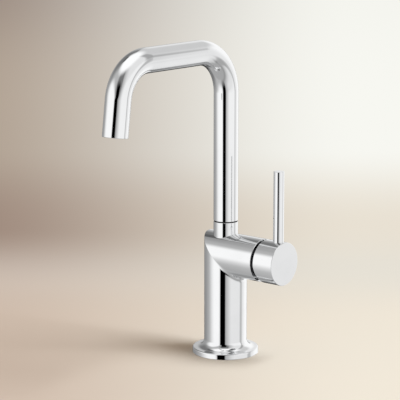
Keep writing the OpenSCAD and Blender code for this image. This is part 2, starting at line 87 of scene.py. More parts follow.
# %% A wrapped socket
class Wire:
    """One output socket that can be added, multiplied and so on."""

    def __init__(self, tree, socket):
        self.tree, self.socket = tree, socket

    def math(self, operation, *others):
        return self.tree.node("ShaderNodeMath", {"operation": operation}, [self, *others])

    def __add__(self, other):
        return self.math("ADD", other)

    def __sub__(self, other):
        return self.math("SUBTRACT", other)

    def __rsub__(self, other):
        return (self * -1).math("ADD", other)

    def __mul__(self, other):
        return self.math("MULTIPLY", other)

    def __truediv__(self, other):
        return self.math("DIVIDE", other)

    __radd__ = __add__
    __rmul__ = __mul__

    def rise(self, low, high):
        """0 below low, 1 above high, and a smooth slope between; low may be the larger."""
        turned_round = low > high
        settings = {"interpolation_type": "SMOOTHSTEP"}
        ends = {"Value": self, "From Min": min(low, high), "From Max": max(low, high)}
        slope = self.tree.node("ShaderNodeMapRange", settings, ends, "Result")
        return 1 - slope if turned_round else slope

    def window(self, open_from, open_at, shut_at, shut_from):
        """1 between open_at and shut_at, with a smooth edge on both sides."""
        return self.rise(open_from, open_at) * self.rise(shut_from, shut_at)


print("a wire can be added, subtracted, multiplied, divided and put through a slope")


# %% A node tree
class Tree:
    """A node tree, with one method that makes any node."""

    def __init__(self, owner):
        owner.use_nodes = True
        self.nodes, self.links = owner.node_tree.nodes, owner.node_tree.links
        self.nodes.clear()

    def node(self, kind, settings=None, inputs=None, output=0):
        made = self.nodes.new(kind)
        for name, value in (settings or {}).items():
            setattr(made, name, value)
        pairs = inputs.items() if isinstance(inputs, dict) else enumerate(inputs or [])
        for name, value in pairs:
            if isinstance(value, Wire):
                self.links.new(value.socket, made.inputs[name])
            else:
                made.inputs[name].default_value = value
        return Wire(self, made.outputs[output]) if made.outputs else None

    def mix(self, share, first, second):
        """A colour between two colours."""
        sockets = {0: share, 6: first, 7: second}
        return self.node("ShaderNodeMix", {"data_type": "RGBA"}, sockets, 2)


print("a tree makes any node and mixes two colours")

# %% [markdown]
# The studio that the chrome mirrors
#
# Chrome has no colour of its own: what is seen on it is the room. Here the room is painted on
# the world by direction, as a few soft panels. `turn` is the direction round the object, in
# degrees from the camera's side and negative to the left, and `height` is the angle above the
# horizon, and every window below is in these degrees. Real lamps and boards could stand there
# instead, but painted ones stay where they are for every tube and can have any softness.

# %% World, directions
world = bpy.data.worlds.new("studio")
bpy.context.scene.world = world
sky = Tree(world)
ray = sky.node("ShaderNodeTexCoord", output="Generated")
facing = sky.node(
    "ShaderNodeVectorRotate",
    {"rotation_type": "Z_AXIS"},
    {"Vector": ray, "Angle": math.radians(90 - CAMERA_TURN)},
)
split = sky.node("ShaderNodeSeparateXYZ", inputs=[facing]).socket.node
forward, aside, up = (Wire(sky, split.outputs[i]) for i in range(3))
TO_DEGREES = 180 / math.pi
turn = aside.math("ARCTAN2", forward) * TO_DEGREES
height = up.math("ARCSINE") * TO_DEGREES


def laid_over(level, mask, panel):
    """The level with a panel laid over it where the mask is 1."""
    return level + mask * (panel - level)


def report(painted):
    """Prints what was painted and how far the tree has grown."""
    print(painted, "painted,", len(sky.nodes), "nodes so far")


print("turn and height are measured by", len(sky.nodes), "nodes")

# %% World, walls and floor
WALLS = 0.20
HORIZON_GAIN = 0.15
ROOM_FLOOR = 0.42
WALL_BEHIND = 0.60

level = WALLS + HORIZON_GAIN * height.window(-26, -8, 6, 28)
level = laid_over(level, height.rise(-40, -56), ROOM_FLOOR)
behind = turn.rise(-160, -180) * 0.85 + turn.rise(150, 176)
level = laid_over(level, behind * height.window(-34, -12, 20, 50), WALL_BEHIND)
report("walls and floor")

# %% [markdown]
# The left panel
#
# A broad white board stands on the left. Its corners are round, so its top and bottom edges
# are arches, and it leans: low down it starts nearer to the camera than high up.

# %% World, left panel
LEFT_SURROUND = 0.52
LEFT_PANEL = 1.05

around_left = turn.window(-142, -84, -44, -20) * height.rise(-60, -50)
level = laid_over(level, around_left, LEFT_SURROUND)
top_arch = height + (turn + 75) * (turn + 75) / 90
bottom_arch = (turn + 60) * (turn + 60) / 90 - height
leaning = turn + 26 * height.rise(-22, 4)
left_panel = leaning.rise(-103, -55) * turn.rise(-22, -40)
left_panel = left_panel * top_arch.rise(44, 26) * bottom_arch.rise(50, 20)
level = laid_over(level, left_panel, LEFT_PANEL)
report("left panel")

# %% [markdown]
# The front and the right panels
#
# The panel in front on the right starts dim at the black flag and grows to its full level, and
# its edge leans to the right as it rises. A narrow dark slit, wider at its top and bottom,
# parts it from the bright board further round, which ends in a dark corner low behind.

# %% World, front panel
FRONT_DIM = 0.44
FRONT_PANEL = 0.845
FRONT_GAIN = 0.13

slanting = turn - 19 * height.rise(-10, 24)
dim_front = slanting.rise(-7, 4) * turn.rise(96, 84) * height.rise(-52, -38)
level = laid_over(level, dim_front, FRONT_DIM)
front_level = FRONT_PANEL + FRONT_GAIN * height.window(-18, -8, 12, 26)
front_panel = slanting.rise(-8, 34) * turn.rise(104, 88) * height.rise(-50, -22)
level = laid_over(level, front_panel, front_level)
report("front panel")

# %% World, right panel
RIGHT_SURROUND = 0.66
RIGHT_EDGE = 0.87
RIGHT_PANEL = 1.06
LOW_CORNER = 0.13
SLIT = 0.42

around_right = turn.window(96, 110, 172, 190) * height.rise(-60, -48)
level = laid_over(level, around_right, RIGHT_SURROUND)
right_edge = turn.rise(92, 99) * turn.rise(190, 160)
level = laid_over(level, right_edge * height.window(-50, -24, 14, 34), RIGHT_EDGE)
right_panel = turn.window(100, 128, 160, 190) * height.window(-54, -22, 20, 38)
level = laid_over(level, right_panel, RIGHT_PANEL)
low_corner = turn.rise(140, 152) * height.window(-66, -58, -42, -30)
level = laid_over(level, low_corner, LOW_CORNER)
parting = turn - 0.2 * height
level_middle = height.window(-22, -8, 12, 24)
wide_slit = parting.window(82, 90, 97, 106) * (1 - level_middle) * height.window(-54, -40, 44, 60)
level = laid_over(level, wide_slit, SLIT)
narrow_slit = parting.window(84, 91, 93, 100) * 0.75 * level_middle
level = laid_over(level, narrow_slit, SLIT)
report("right panel and slit")

# %% [markdown]
# Ceiling and flag
#
# The ceiling is white. The flag is a narrow black board nearly behind the camera, and it draws
# the black line down every upright. It steps a little to the right above the horizon. A second
# flag stands on the far side, so that the chrome is as crisp when the faucet is seen from
# behind. In the front view it falls on the very edge of each tube, and it stands low, so that
# the flat top of the foot doesn't mirror it.

# %% World, ceiling and flag
CEILING = 1.12
CEILING_CORNER = 0.12
FLAG = 0.0
FAR_FLAG = 0.04

level = laid_over(level, height.rise(48, 68), CEILING)
dark_corner = turn.window(-156, -148, -132, -127) * height.window(44, 50, 56, 64)
level = laid_over(level, dark_corner, CEILING_CORNER)
stepped = turn - 8 * height.window(3, 12, 26, 40)
flag = stepped.window(-31, -28.5, -5, 0) * height.window(-44, -26, 26, 46)
level = laid_over(level, flag, FLAG)
astern = turn.rise(163, 166) + turn.rise(-163, -167)
far_flag = astern * height.window(-44, -26, -8, 3)
level = laid_over(level, far_flag, FAR_FLAG)
report("ceiling and flags")

# %% [markdown]
# Two strengths
#
# What the chrome mirrors and what lights the floor needn't be equally bright. Light Path tells
# the two apart: a mirrored ray sees the panels as they are painted, and any other ray sees them
# at about half, and warmer, because the shadow beside the foot is a soft brown.

# %% World, strength
FILL_SHARE = 0.53
FILL_TINT = (1.0, 0.80, 0.62, 1)
WHITE = (1, 1, 1, 1)

seen_in_metal = sky.node("ShaderNodeLightPath", output="Is Glossy Ray")
strength = laid_over(level * FILL_SHARE, seen_in_metal, level)
tint = sky.mix(seen_in_metal, FILL_TINT, WHITE)
glow = sky.node("ShaderNodeBackground", inputs={"Color": tint, "Strength": strength})
sky.node("ShaderNodeOutputWorld", inputs={"Surface": glow})
print("studio painted with", len(sky.nodes), "nodes")

# %% [markdown]
# The key lamp
#
# The world gives an even light with almost no shadow. One broad, tall lamp stands high on the
# right, and because it is tall, the shadow on the floor is dark at the foot and fades out
# within a hand's breadth. Its place round the faucet is a compromise: nearer to the camera the
# shadow would swing behind the foot, and further from it the hub would shade more of the floor
# in front. The lamp isn't seen in the chrome, which already mirrors the panels.

# %% Key lamp
LAMP_TURN = 22
LAMP_RISE = 62
LAMP_AWAY = 3.2
LAMP_WIDTH = 1.1
LAMP_HEIGHT = 1.9
LAMP_POWER = 91
LAMP_COLOUR = (0.95, 0.98, 1.0)

lamp = bpy.data.lights.new("key", "AREA")
lamp.shape = "RECTANGLE"
lamp.size = LAMP_WIDTH
lamp.size_y = LAMP_HEIGHT
lamp.energy = LAMP_POWER
lamp.color = LAMP_COLOUR
key = bpy.data.objects.new("key", lamp)
bpy.context.scene.collection.objects.link(key)
away = Vector((LAMP_AWAY, 0, 0))
away.rotate(Matrix.Rotation(math.radians(-LAMP_RISE), 3, "Y"))
away.rotate(Matrix.Rotation(math.radians(LAMP_TURN), 3, "Z"))
key.location = away
key.rotation_euler = away.to_track_quat("Z", "Y").to_euler()
key.visible_glossy = False
print("key lamp", [round(v, 2) for v in key.location])

# %% [markdown]
# Floor and backdrop
#
# The floor is a broad disc of warm plaster, and its colour carries painted light and shade: it
# grows paler to the right with painted light, as the lit side of a studio does, and darker to
# the left with painted shade. Close to the faucet it is lit by the lamp and takes the real
# shadow. Further off it glows by itself, a painted glow, so that the far end doesn't sink into
# the dark, with a soft brown painted shade where the floor would meet a wall. Each tone has a
# darker side in painted shade and a paler side in painted light, and the depth in metres over
# which it takes over from the one before. All of it is painted by place on the floor, so it
# stays put when the camera moves. Neither floor nor backdrop is seen in the chrome, which
# mirrors the painted studio.

# %% Stage, tones and directions
VIEW_AWAY = 1.72
VIEW_SPREAD = 0.112
CLOSEST_DEPTH = -0.5
# Painted light: across this span the floor turns from its darker painted-shade colour to its paler
# painted-light colour.
PALER_FROM, PALEST_AT = -1.3, 0.75
# Each pair is the floor's colour in painted shade and in painted light. The first further pair is
# darker: painted shade where the floor would meet a wall.
CLOSE_TONES = (0.62, 0.53, 0.46, 1), (0.78, 0.75, 0.675, 1)
FURTHER_TONES = [
    ((0.35, 0.26, 0.21, 1), (0.81, 0.75, 0.65, 1), 0.24, 0.57),
    ((0.44, 0.36, 0.29, 1), (0.93, 0.93, 0.88, 1), 0.58, 1.20),
    ((0.33, 0.26, 0.215, 1), (0.91, 0.91, 0.86, 1), 1.6, 4.2),
]
# Beyond this depth the floor glows by itself: a painted glow, not lit by any lamp.
GLOWS_FROM, GLOWS_FULLY = 0.10, 0.40

right = Vector((math.cos(math.radians(CAMERA_TURN)), math.sin(math.radians(CAMERA_TURN)), 0))
deep = Vector((-right.y, right.x, 0))
print("floor tones:", 1 + len(FURTHER_TONES), "from near to far")


# %% Stage, plaster
def along(tree, place, direction):
    """How far a place lies along a direction."""
    dot = {"operation": "DOT_PRODUCT"}
    return tree.node("ShaderNodeVectorMath", dot, [place, tuple(direction)], "Value")


plaster = bpy.data.materials.new("plaster")
paint = Tree(plaster)
place = paint.node("ShaderNodeTexCoord", output="Object")
across, depth = along(paint, place, right), along(paint, place, deep)
spread = VIEW_SPREAD * (VIEW_AWAY + depth.math("MAXIMUM", CLOSEST_DEPTH))
# Painted light to the right and painted shade to the left.
painted_light_share = (across / spread).rise(PALER_FROM, PALEST_AT)
ground = paint.mix(painted_light_share, *CLOSE_TONES)
for darker, paler, begins, complete in FURTHER_TONES:
    tone = paint.mix(painted_light_share, darker, paler)
    ground = paint.mix(depth.rise(begins, complete), ground, tone)
lit = paint.node(
    "ShaderNodeBsdfPrincipled",
    inputs={"Base Color": ground, "Roughness": 0.9, "Specular IOR Level": 0.0},
)
# The far floor's painted glow.
painted_glow = paint.node("ShaderNodeEmission", inputs={"Color": ground, "Strength": 1.0})
painted_glow_share = depth.rise(GLOWS_FROM, GLOWS_FULLY)
skin = paint.node("ShaderNodeMixShader", inputs=[painted_glow_share, lit, painted_glow])
paint.node("ShaderNodeOutputMaterial", inputs={"Surface": skin})
print("plaster has", len(paint.nodes), "nodes")

# %% Stage, floor and backdrop
FLOOR_RADIUS = 9
BACKDROP_RADIUS = FLOOR_RADIUS - 0.5

bpy.ops.object.select_all(action="DESELECT")
bpy.ops.mesh.primitive_circle_add(vertices=96, radius=FLOOR_RADIUS, fill_type="NGON")
floor = bpy.context.active_object
floor.name = "floor"
bpy.ops.mesh.primitive_uv_sphere_add(segments=64, ring_count=32, radius=BACKDROP_RADIUS)
backdrop = bpy.context.active_object
backdrop.name = "backdrop"
for staged in (floor, backdrop):
    staged.data.materials.append(plaster)
    staged.visible_glossy = staged.visible_diffuse = staged.visible_shadow = False
    staged.visible_transmission = False
print("floor", FLOOR_RADIUS, "m across the radius")

# %% [markdown]
# How the pieces are modelled
#
# Nearly every piece of a faucet comes off a lathe, so the main helper works like one. It
# starts from a circle, extrudes it to the next height and scales it to the next radius, ring
# after ring. Spinning a profile would give the same skin, but rings keep their points in line
# from piece to piece, which the mitre needs. Other shapes are joined on or cut out with a
# boolean, and corners are rounded by stations along a small arc.

# %% Arcs and selection
def arc(middle_r, middle_z, radius, start, end, steps=5):
    """Stations along a circle's arc, from start to end in degrees."""
    angles = [math.radians(start + (end - start) * i / steps) for i in range(steps + 1)]
    return [(middle_r + radius * math.cos(a), middle_z + radius * math.sin(a)) for a in angles]


def only(piece):
    """Selects this piece alone and makes it the active one."""
    bpy.ops.object.select_all(action="DESELECT")
    bpy.context.view_layer.objects.active = piece
    piece.select_set(True)


def edit_all(piece):
    """Opens a piece for editing, with everything in it selected."""
    only(piece)
    bpy.ops.object.mode_set(mode="EDIT")
    bpy.ops.mesh.select_all(action="SELECT")


def leave_edit():
    bpy.ops.object.mode_set(mode="OBJECT")


print("a quarter round has", len(arc(0, 0, 1, 0, 90)), "stations")

# %% Lathe
ROUND = 192
SAME_POINT = 1e-6


def settle(piece, at=(0, 0, 0), turn=(0, 0, 0)):
    """Turns and moves a piece, then puts its place in its mesh."""
    only(piece)
    bpy.ops.object.transform_apply()
    piece.rotation_euler = [math.radians(a) for a in turn]
    piece.location = Vector(at) * MM
    bpy.ops.object.transform_apply()
    return piece


def turned(name, stations, at=(0, 0, 0), turn=(0, 0, 0), sides=ROUND, closed=True):
    """A turned piece from (radius, height) stations, in millimetres."""
    (radius, height), *rest = stations
    bpy.ops.object.select_all(action="DESELECT")
    bpy.ops.mesh.primitive_circle_add(
        vertices=sides, radius=radius * MM, location=(0, 0, height * MM)
    )
    piece = bpy.context.active_object
    piece.name = piece.data.name = name
    edit_all(piece)
    for next_radius, next_height in rest:
        rise = (0, 0, (next_height - height) * MM)
        bpy.ops.mesh.extrude_region_move(TRANSFORM_OT_translate={"value": rise})
        share = next_radius / radius
        bpy.ops.transform.resize(
            value=(share, share, 1), center_override=(0, 0, next_height * MM)
        )
        radius, height = next_radius, next_height
    bpy.ops.mesh.select_all(action="SELECT")
    bpy.ops.mesh.remove_doubles(threshold=SAME_POINT)
    if closed:
        bpy.ops.mesh.fill_holes(sides=0)
        bpy.ops.mesh.normals_make_consistent(inside=False)
    leave_edit()
    return settle(piece, at, turn)


print("a turned piece has", ROUND, "sides")


# %% Cutting tools
def slice_off(piece, at, normal):
    """Cuts a piece with a plane and drops what lies on the side the normal points to."""
    edit_all(piece)
    bpy.ops.mesh.bisect(
        plane_co=Vector(at) * MM, plane_no=Vector(normal).normalized(), clear_outer=True
    )
    leave_edit()


def combine(piece, tool, operation):
    """Joins a tool on (UNION), cuts it out (DIFFERENCE) or keeps the shared part (INTERSECT)."""
    only(piece)
    step = piece.modifiers.new("combine", "BOOLEAN")
    step.object, step.operation, step.solver = tool, operation, "EXACT"
    bpy.ops.object.modifier_apply(modifier=step.name)
    bpy.data.objects.remove(tool)


print("a plane slices, and a boolean joins, cuts or keeps what two pieces share")

# %% [markdown]
# Exact shading on round surfaces
#
# Chrome shows every fault in a surface. Where a boolean has cut a long face, the averaged
# shading of its corners is off by a degree or so, and the mirrored lines wobble there. So
# each round surface is told its own axis, and the shading of every corner on it points
# straight out from that axis. A smoother mesh would help a little, but this is exact.

# %% Round skins
def barrel(at, axis, radius):
    """A cylinder: gives how far a place is off it, and its direction outwards there."""
    middle, axis = Vector(at) * MM, Vector(axis).normalized()

    def measure(place):
        out = place - middle
        out = out - axis * out.dot(axis)
        return abs(out.length - radius * MM), out.normalized()

    return measure


def bend(at, axis, ring_radius, radius):
    """A tube bent round an axis, or the hollow sweep round a foot."""
    middle, axis = Vector(at) * MM, Vector(axis).normalized()

    def measure(place):
        out = place - middle
        flat = out - axis * out.dot(axis)
        across = out - flat.normalized() * ring_radius * MM
        return abs(across.length - radius * MM), across.normalized()

    return measure


print("skins: a barrel for a straight stretch, a bend for a curved one")

# %% Exact shading
ON_THE_SKIN = 0.012
SAME_WAY = 0.9


def shade(piece, skins=(), sharp_from=28):
    """Smooth shading, sharp at real edges and exact on the given skins."""
    only(piece)
    bpy.ops.object.shade_smooth_by_angle(angle=math.radians(sharp_from))
    flats = piece.modifiers.new("flats", "WEIGHTED_NORMAL")
    flats.mode, flats.weight, flats.keep_sharp = "FACE_AREA", 100, True
    bpy.ops.object.modifier_apply(modifier=flats.name)
    mesh = piece.data
    normals = [corner.vector.copy() for corner in mesh.corner_normals]
    exact = 0
    for face in mesh.polygons:
        places = [mesh.vertices[v].co for v in face.vertices]
        for skin in skins:
            found = [skin(place) for place in places]
            if any(off > ON_THE_SKIN * MM for off, _ in found):
                continue
            if any(abs(out.dot(face.normal)) < SAME_WAY for _, out in found):
                continue
            for loop, (_, out) in zip(face.loop_indices, found):
                normals[loop] = out if out.dot(face.normal) > 0 else -out
            exact += 1
            break
    mesh.normals_split_custom_set(normals)
    print(piece.name, len(mesh.polygons), "faces,", exact, "with exact shading")


print("a face within", ON_THE_SKIN, "mm of a skin is shaded exactly")

# %% [markdown]
# The body
#
# The real body is a brass casting, turned and plated: a round foot with a hollow sweep, a
# column, and a hub that leaves the column through a 45 degree mitre like a stovepipe elbow.
# Two turned pieces are cut by the mitre plane. Their rings have the same number of sides, so
# the cut points meet and can be merged. The boss that carries the spout is joined on, and the
# chamber for the cartridge and the socket for the post are cut out.

# %% Body, the column
HUB_Z = 99.5
COLUMN_R = 21
FOOT_R = 32.5
FOOT_H = 5.5
FOOT_LIP = 1.2
SWEEP = 8
EDGE = 0.3
BORE_R = 15
BORE_TOP = 62
SHANK_SEAT_R = 16.55
SHANK_SEAT_H = 14
GROOVE_INNER_R = 21.95
GROOVE_OUTER_R = 29.05
GROOVE_H = 2
LIMB_RING = 60
LIMB_TOP = 126

column_bore = [(BORE_R, BORE_TOP), (BORE_R, SHANK_SEAT_H), (SHANK_SEAT_R, SHANK_SEAT_H)]
column_bore += [(SHANK_SEAT_R, EDGE), (SHANK_SEAT_R + EDGE, 0)]
gasket_groove = [(GROOVE_INNER_R, 0), (GROOVE_INNER_R, GROOVE_H)]
gasket_groove += [(GROOVE_OUTER_R, GROOVE_H), (GROOVE_OUTER_R, 0)]
rim = [(FOOT_R - EDGE, 0), (FOOT_R, EDGE)]
rim += arc(FOOT_R - FOOT_LIP, FOOT_H - FOOT_LIP, FOOT_LIP, 0, 90)
sweep = arc(COLUMN_R + SWEEP, FOOT_H + SWEEP, SWEEP, -90, -180, 16)
limb = column_bore + gasket_groove + rim + sweep + [(COLUMN_R, LIMB_RING), (COLUMN_R, LIMB_TOP)]
body = turned("body_casting", limb, closed=False)
slice_off(body, (0, 0, HUB_Z), (1, 0, 1))
print("column", len(body.data.vertices), "points")

# %% Body, the hub
HUB_START = -26
HUB_END = 47
HUB_EDGE = 0.4

hub_limb = [(COLUMN_R - HUB_EDGE, HUB_END)]
hub_limb += arc(COLUMN_R - HUB_EDGE, HUB_END - HUB_EDGE, HUB_EDGE, 90, 0, 4)[1:]
hub_limb += [(COLUMN_R, HUB_START)]
hub = turned("hub", hub_limb, (0, 0, HUB_Z), (0, 90, 0), closed=False)
slice_off(hub, (0, 0, HUB_Z), (-1, 0, -1))
print("hub", len(hub.data.vertices), "points")

# %% Body, the elbow joined
only(body)
hub.select_set(True)
bpy.ops.object.join()
edit_all(body)
bpy.ops.mesh.remove_doubles(threshold=SAME_POINT)
bpy.ops.mesh.fill_holes(sides=0)
bpy.ops.mesh.normals_make_consistent(inside=False)
leave_edit()
print("elbow", len(body.data.vertices), "points")

# %% [markdown]
# The inside corner of the elbow
#
# On the real casting the outside of the mitre is crisp, and the inside corner is a fillet of
# one radius. A plain bevel has one width all along instead, which gives a larger radius where
# the limbs meet at a shallow angle. So each edge of the mitre gets its own bevel weight, worked
# out from the angle between the two limbs there.

# %% Body, the fillet
BLEND_R = 5.5
BLEND_SEGMENTS = 8
CRISP_SETBACK = 0.3
ON_THE_PLANE = 1e-7


def on_mitre(place):
    """Whether a point lies where the outsides of the two limbs meet."""
    radius = math.hypot(place.x, place.y) / MM
    off_the_plane = abs(place.x + place.z - HUB_Z * MM)
    return off_the_plane < ON_THE_PLANE and radius > COLUMN_R - 0.01


def corner_setback(place):
    """How far from the mitre a fillet of BLEND_R begins, for the inside of the elbow."""
    inward = max(place.x, 0) / math.hypot(place.x, place.y)
    folded = math.acos(1 - inward**2)
    return max(BLEND_R * math.tan(folded / 2), CRISP_SETBACK)


weights = body.data.attributes.new("bevel_weight_edge", "FLOAT", "EDGE")
setbacks = {}
for edge in body.data.edges:
    ends = [body.data.vertices[v].co for v in edge.vertices]
    if all(on_mitre(end) for end in ends):
        setbacks[edge.index] = corner_setback((ends[0] + ends[1]) / 2)
for index, setback in setbacks.items():
    weights.data[index].value = setback / BLEND_R
only(body)
fillet = body.modifiers.new("fillet", "BEVEL")
fillet.width, fillet.segments = BLEND_R * MM, BLEND_SEGMENTS
fillet.limit_method, fillet.use_clamp_overlap = "WEIGHT", False
bpy.ops.object.modifier_apply(modifier=fillet.name)
widest = round(max(setbacks.values()), 2)
print("mitre rounded along", len(setbacks), "edges, by up to", widest, "mm")

# %% Body, boss, chamber and socket
SWIVEL_Z = 132
TUBE_R = 12
BOSS_START = HUB_Z + 8
CHAMBER_R = 17.6
CHAMBER_FLOOR = 10
CHAMBER_MOUTH = 34
MOUTH_R = 18.2
SOCKET_R = 10.05
SOCKET_FLOOR = 118.5

boss_edge = arc(TUBE_R - EDGE, SWIVEL_Z - EDGE, EDGE, 0, 90, 3)
boss = turned("boss", [(TUBE_R, BOSS_START)] + boss_edge)
combine(body, boss, "UNION")
chamber_stations = [(CHAMBER_R, CHAMBER_FLOOR), (CHAMBER_R, CHAMBER_MOUTH)]
chamber_stations += [(MOUTH_R, CHAMBER_MOUTH), (MOUTH_R, HUB_END + 1)]
chamber = turned("chamber", chamber_stations, (0, 0, HUB_Z), (0, 90, 0))
combine(body, chamber, "DIFFERENCE")
socket = turned("socket", [(SOCKET_R, SOCKET_FLOOR), (SOCKET_R, SWIVEL_Z + 2)])
combine(body, socket, "DIFFERENCE")
shade(
    body,
    [
        barrel((0, 0, 0), (0, 0, 1), COLUMN_R),
        barrel((0, 0, HUB_Z), (1, 0, 0), COLUMN_R),
        barrel((0, 0, 0), (0, 0, 1), TUBE_R),
        barrel((0, 0, 0), (0, 0, 1), FOOT_R),
        bend((0, 0, FOOT_H + SWEEP), (0, 0, 1), COLUMN_R + SWEEP, SWEEP),
    ],
)

# %% [markdown]
# The spout
#
# The spout is one length of tube, 24 mm across, bent twice in a press and cut square at the
# outlet. It is drawn the way it is bent: a circle at the swivel is extruded up, spun through
# the first bend, extruded along the level run, spun through the second bend and extruded to
# the mouth. Without a window the spin turns the other way, so its angles are negative. A
# curve with a round bevel would do too, but its rings don't fall exactly where the bends
# begin. Solidify then gives the wall its 1.5 mm.

# %% Spout, sizes and centres
SPOUT_H = 300.5
BACK_BEND = 42
FRONT_BEND = 37
LEVEL_RUN = 75
LEAN = 7.5
LEG = 34

front_y = -BACK_BEND - LEVEL_RUN
back_centre = (0, -BACK_BEND, SPOUT_H - BACK_BEND)
front_centre = (0, front_y, SPOUT_H - FRONT_BEND)
lean = math.radians(LEAN)
down_leg = Vector((0, -math.sin(lean), -math.cos(lean)))
leg_top = Vector(front_centre) + Vector((0, -math.cos(lean), math.sin(lean))) * FRONT_BEND
mouth = leg_top + down_leg * LEG
print("mouth at", [round(v, 1) for v in mouth])


# %% Spout, bending tools
def pull(direction, scale=1.0, centre=(0, 0, 0)):
    """Extrudes the open ring, and scales the new ring about its centre."""
    move = tuple(Vector(direction) * MM)
    bpy.ops.mesh.extrude_region_move(TRANSFORM_OT_translate={"value": move})
    if scale != 1.0:
        middle = tuple(Vector(centre) * MM)
        bpy.ops.transform.resize(value=(scale,) * 3, center_override=middle)


def swing(degrees, centre, steps):
    """Spins the open ring about an axis along X, as a tube bender does."""
    middle = tuple(Vector(centre) * MM)
    angle = -math.radians(degrees)
    bpy.ops.mesh.spin(steps=steps, angle=angle, center=middle, axis=(1, 0, 0))


print("pull makes a straight length, swing makes a bend")

# %% Spout, the tube
RISER_Z = 133
WALL = 1.5
BEND_STEPS = 60

bpy.ops.object.select_all(action="DESELECT")
bpy.ops.mesh.primitive_circle_add(
    vertices=ROUND, radius=(TUBE_R - EDGE) * MM, location=(0, 0, RISER_Z * MM)
)
spout = bpy.context.active_object
spout.name = spout.data.name = "spout_bent_tube"
edit_all(spout)
pull((0, 0, EDGE), TUBE_R / (TUBE_R - EDGE), (0, 0, RISER_Z + EDGE))
pull((0, 0, back_centre[2] - RISER_Z - EDGE))
swing(90, back_centre, BEND_STEPS)
pull((0, -LEVEL_RUN, 0))
swing(90 - LEAN, front_centre, BEND_STEPS)
pull(down_leg * (LEG - EDGE))
pull(down_leg * EDGE, (TUBE_R - EDGE) / TUBE_R, mouth)
bpy.ops.mesh.select_all(action="SELECT")
bpy.ops.mesh.remove_doubles(threshold=SAME_POINT)
bpy.ops.mesh.normals_make_consistent(inside=False)
leave_edit()
settle(spout)
wall = spout.modifiers.new("wall", "SOLIDIFY")
wall.thickness, wall.offset, wall.use_even_offset = WALL * MM, -1, True
bpy.ops.object.modifier_apply(modifier=wall.name)
shade(
    spout,
    [
        barrel((0, 0, 0), (0, 0, 1), TUBE_R),
        bend(back_centre, (1, 0, 0), BACK_BEND, TUBE_R),
        barrel((0, 0, SPOUT_H), (0, 1, 0), TUBE_R),
        bend(front_centre, (1, 0, 0), FRONT_BEND, TUBE_R),
        barrel(mouth, down_leg, TUBE_R),
    ],
)

# %% [markdown]
# Cap and rod of the handle
#
# The cap closes the hub like a lid, with an open gap all round, and the lower half of its rim
# is cut back at 10 degrees so that it can tilt outwards. It is turned about the hub's axis and
# its rim is sliced by one leaning plane. The pocket for the stem, the seat of the rod and the
# hole for the grub screw are cut out of it.

# %% Cap, turned and cut back
CAP_RIM = 50
CAP_FACE = 72.5
CAP_FLOOR = 58.5
CAP_BORE_R = 18.5
CAP_RELIEF = 10
RIM_EDGE = 0.4
FACE_EDGE = 0.5
WEDGE_SPAN = 60

cap_stations = [(CAP_BORE_R, CAP_FLOOR), (CAP_BORE_R, CAP_RIM)]
cap_stations += arc(COLUMN_R - RIM_EDGE, CAP_RIM + RIM_EDGE, RIM_EDGE, -90, 0, 4)
cap_stations += arc(COLUMN_R - FACE_EDGE, CAP_FACE - FACE_EDGE, FACE_EDGE, 0, 90, 5)
cap = turned("handle_lid", cap_stations, (0, 0, HUB_Z), (0, 90, 0))
middle_of_wedge = -WEDGE_SPAN / 2 * MM
bpy.ops.object.select_all(action="DESELECT")
bpy.ops.mesh.primitive_cube_add(
    size=WEDGE_SPAN * MM, location=(middle_of_wedge, 0, middle_of_wedge)
)
wedge = settle(bpy.context.active_object, (CAP_RIM, 0, HUB_Z), (0, -CAP_RELIEF, 0))
combine(cap, wedge, "DIFFERENCE")
print("cap", CAP_FACE - CAP_RIM, "mm deep, its rim cut back at", CAP_RELIEF, "degrees")

# %% Cap, pocket and holes
STEM_HOLE_WIDTH = 8.1
STEM_HOLE_DEPTH = 10.5
ROD_X = 65
ROD_R = 5.15
ROD_SEAT_Z = HUB_Z + 12
ROD_FIT = 0.05
GRUB_X = 63
GRUB_R = 2.55

bpy.ops.mesh.primitive_cube_add(size=STEM_HOLE_WIDTH * MM, location=(0, 0, 0))
stem_hole = bpy.context.active_object
stem_hole.scale.x = STEM_HOLE_DEPTH / STEM_HOLE_WIDTH
stem_hole = settle(stem_hole, (CAP_FLOOR - 1 + STEM_HOLE_DEPTH / 2, 0, HUB_Z))
combine(cap, stem_hole, "DIFFERENCE")
seat_stations = [(ROD_R + ROD_FIT, ROD_SEAT_Z), (ROD_R + ROD_FIT, ROD_SEAT_Z + 20)]
combine(cap, turned("seat", seat_stations, (ROD_X, 0, 0), sides=96), "DIFFERENCE")
grub_stations = [(GRUB_R, HUB_Z - 24), (GRUB_R, HUB_Z - 4)]
combine(cap, turned("grub_hole", grub_stations, (GRUB_X, 0, 0), sides=48), "DIFFERENCE")
shade(cap, [barrel((0, 0, HUB_Z), (1, 0, 0), COLUMN_R)])

# %% Rod
ROD_TOP = 189

rod_side = [(ROD_R - RIM_EDGE, ROD_SEAT_Z), (ROD_R, ROD_SEAT_Z + RIM_EDGE)]
rod_tip = arc(ROD_R - FACE_EDGE, ROD_TOP - FACE_EDGE, FACE_EDGE, 0, 90, 5)
rod = turned("handle_rod", rod_side + rod_tip, (ROD_X, 0, 0), sides=128)
shade(rod, [barrel((ROD_X, 0, 0), (0, 0, 1), ROD_R)])
print("rod", ROD_TOP - ROD_SEAT_Z, "mm long, seated", ROD_SEAT_Z - HUB_Z, "mm above the hub's axis")

# %% [markdown]
# The dome in the gap
#
# Between hub and cap a steel trim dome is seen. It is round about the lever's pivot, so that
# the cap can tilt over it, and it keeps dirt out of the cartridge. The gap lies in shade and
# looks nearly black, so the steel's colour is painted nearly black further down: painted
# shade, on a dome that is plain steel.

